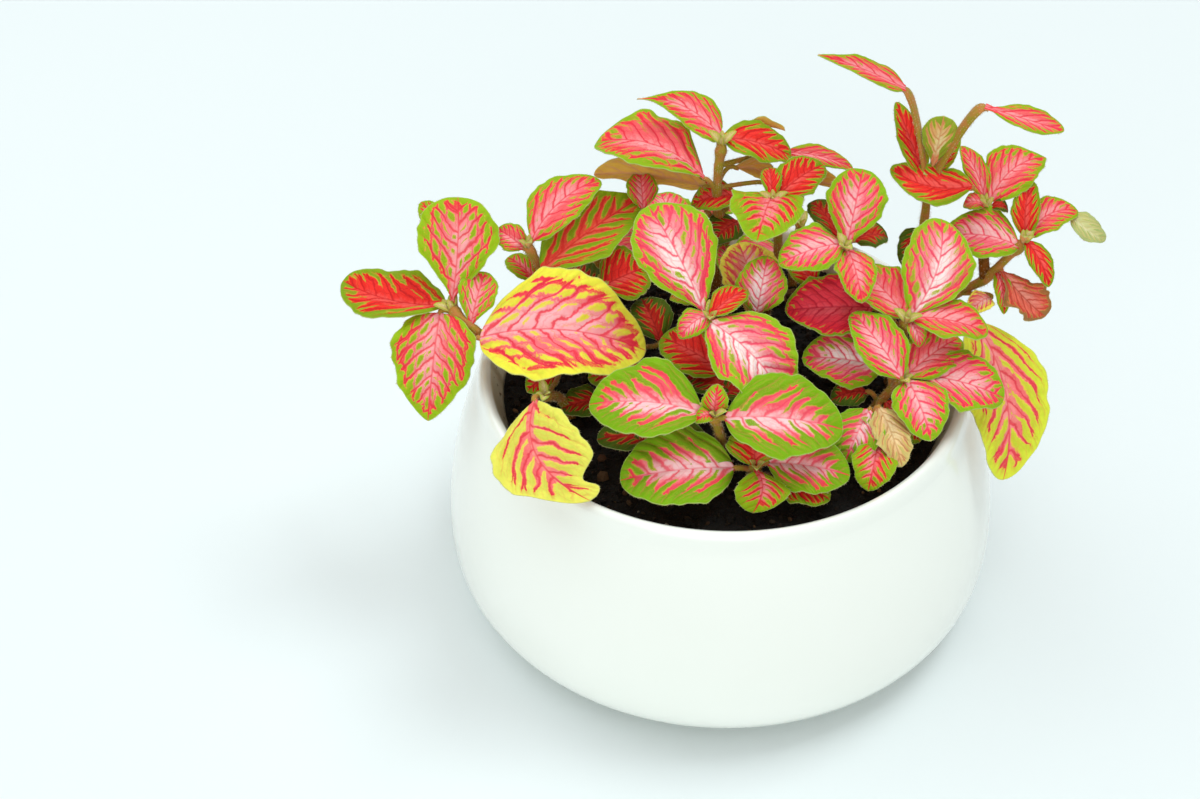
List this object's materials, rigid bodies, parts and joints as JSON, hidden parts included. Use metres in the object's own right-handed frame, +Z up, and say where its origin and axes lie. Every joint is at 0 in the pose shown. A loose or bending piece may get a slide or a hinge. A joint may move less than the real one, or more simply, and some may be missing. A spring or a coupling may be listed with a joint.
{
  "type": "potted nerve plant",
  "caption": "Nerve plant with pink-veined, green-edged leaves on branching stems, in a squat round glazed bowl pot filled with soil.",
  "frame": {"origin": "centre of the pot's flat base, on the surface that it stands on", "axes": "+Z up the pot's axis; the plant's front, where the leaves are lowest, faces -Y; +X is to its right as seen from the front"},
  "size_m": [0.2132, 0.16, 0.1575],
  "materials": {
    "glaze": "gloss",
    "soil": "matte",
    "foliage": "satin"
  },
  "bodies": {
    "root": {"pot": "glaze", "soil": "soil", "shoot_left": "foliage", "shoot_front_left": "foliage", "shoot_back_left": "foliage", "shoot_left_low": "foliage", "shoot_back": "foliage", "shoot_back_centre": "foliage", "shoot_centre": "foliage", "shoot_centre_back": "foliage", "shoot_right_back": "foliage", "shoot_right": "foliage", "shoot_front_right": "foliage", "shoot_front": "foliage", "shoot_front_low": "foliage", "shoot_front_edge": "foliage", "shoot_tall": "foliage", "shoot_right_edge": "foliage", "shoot_rear_left": "foliage", "shoot_rear": "foliage", "shoot_rear_right": "foliage"}
  },
  "joints": []
}
